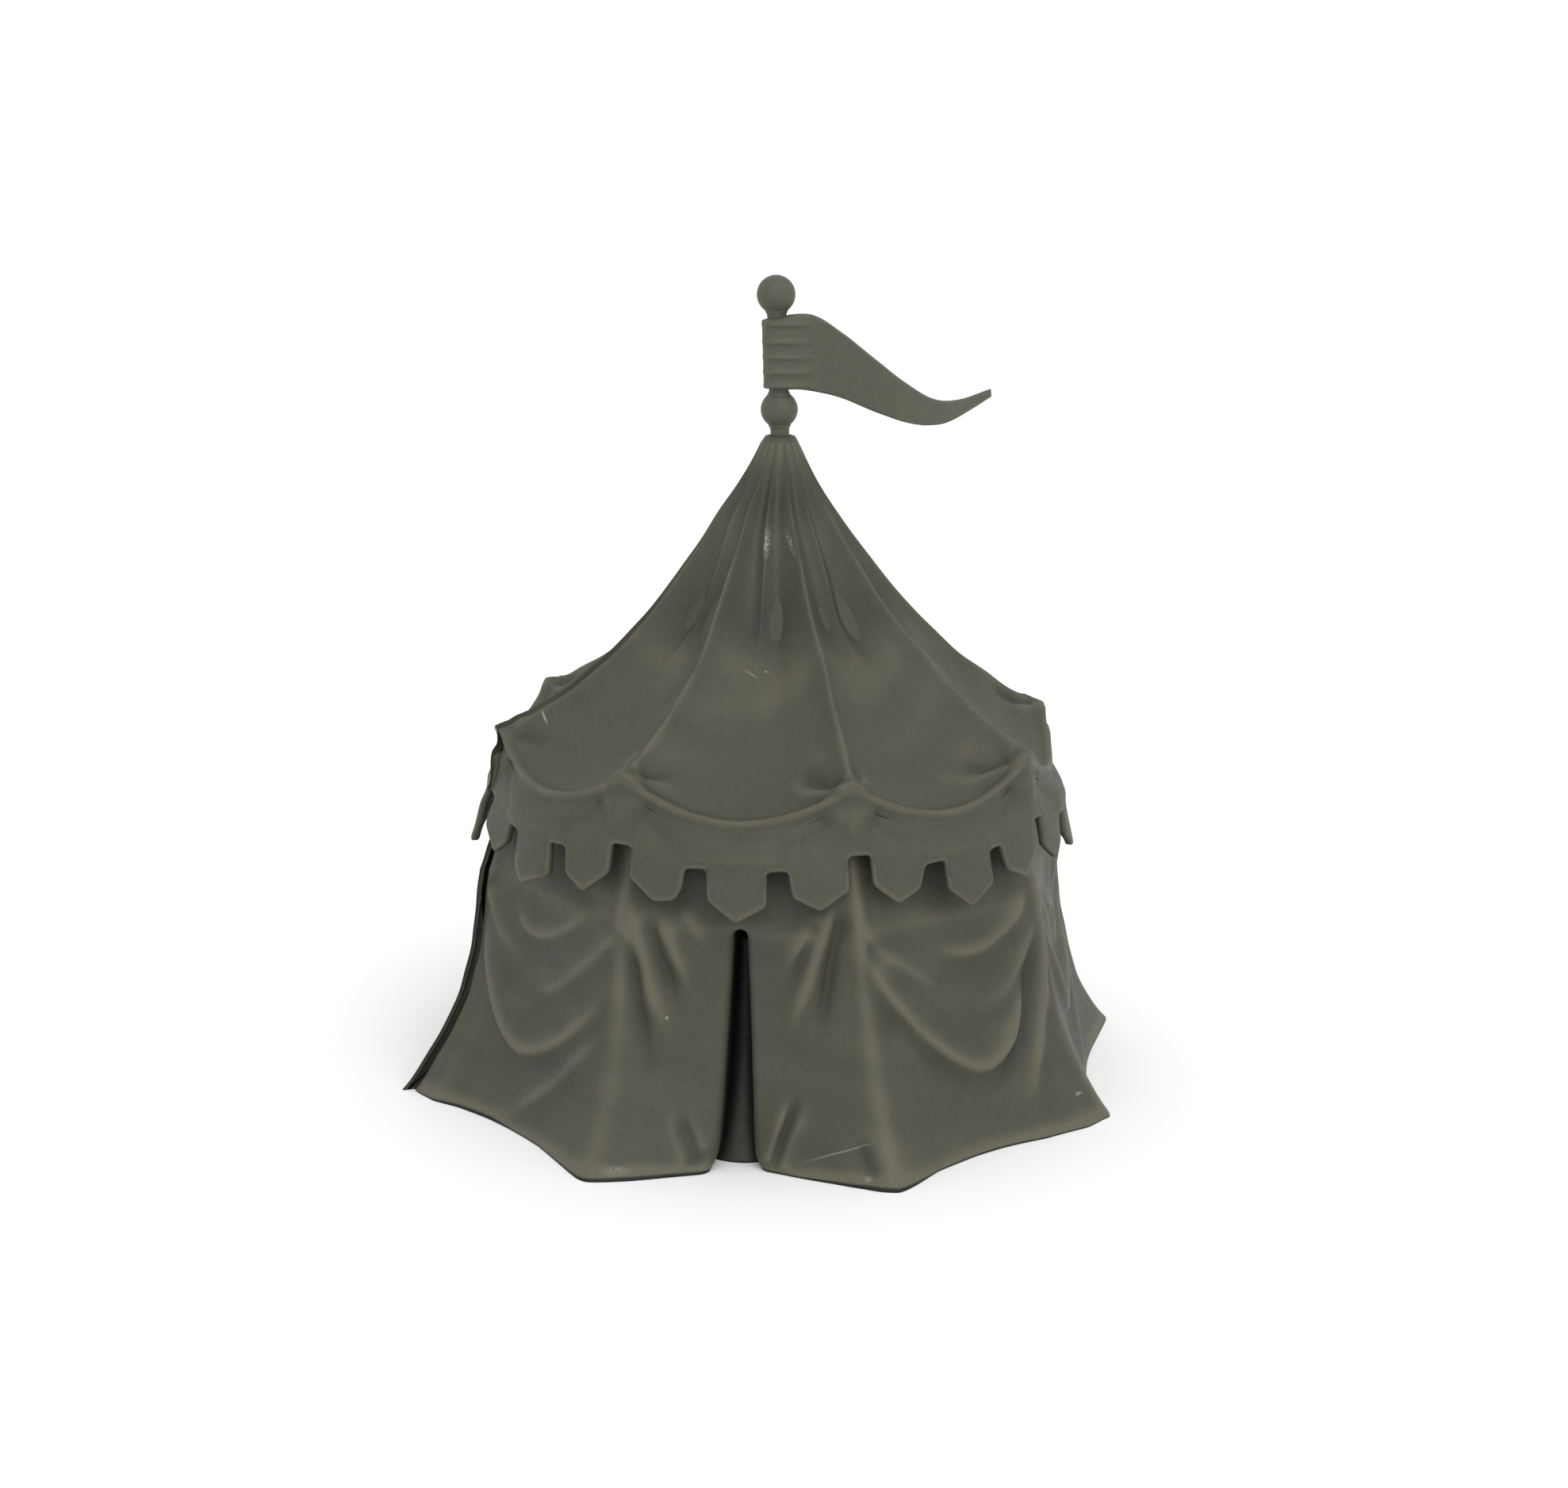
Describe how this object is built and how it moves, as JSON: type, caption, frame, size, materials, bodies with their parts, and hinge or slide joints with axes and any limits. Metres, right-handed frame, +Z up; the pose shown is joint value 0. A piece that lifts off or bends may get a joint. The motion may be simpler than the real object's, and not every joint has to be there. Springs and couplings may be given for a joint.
{
  "type": "model circus tent",
  "caption": "Small moulded plastic model of an eight-sided circus tent: draped flaring walls, dagged valance, pleated bell-shaped roof, and a pole with balls and a pennant.",
  "frame": {"origin": "on the ground, in the middle of the hem's bounding box and under the roof's crown", "axes": "+Z up along the tent's axis, the doorway faces -Y, the pennant flies towards +X"},
  "size_m": [0.1084, 0.1084, 0.1199],
  "materials": {
    "tent_plastic": "matt unpainted moulding with a faint mottled grain",
    "pole_plastic": "matt unpainted moulding"
  },
  "bodies": {
    "root": {"roof_gore_front": "tent_plastic", "roof_gore_front_right": "tent_plastic", "roof_gore_right": "tent_plastic", "roof_gore_back_right": "tent_plastic", "roof_gore_back": "tent_plastic", "roof_gore_back_left": "tent_plastic", "roof_gore_left": "tent_plastic", "roof_gore_front_left": "tent_plastic", "valance_front": "tent_plastic", "valance_front_right": "tent_plastic", "valance_right": "tent_plastic", "valance_back_right": "tent_plastic", "valance_back": "tent_plastic", "valance_back_left": "tent_plastic", "valance_left": "tent_plastic", "valance_front_left": "tent_plastic", "wall_front_right": "tent_plastic", "wall_right": "tent_plastic", "wall_back_right": "tent_plastic", "wall_back": "tent_plastic", "wall_back_left": "tent_plastic", "wall_left": "tent_plastic", "wall_front_left": "tent_plastic", "door_leaf_left": "tent_plastic", "door_leaf_right": "tent_plastic", "door_head": "tent_plastic", "inner_curtain": "tent_plastic", "flagpole": "pole_plastic", "lower_ball": "pole_plastic", "top_ball": "pole_plastic", "pennant_sleeve": "pole_plastic", "pennant": "pole_plastic"}
  },
  "joints": []
}
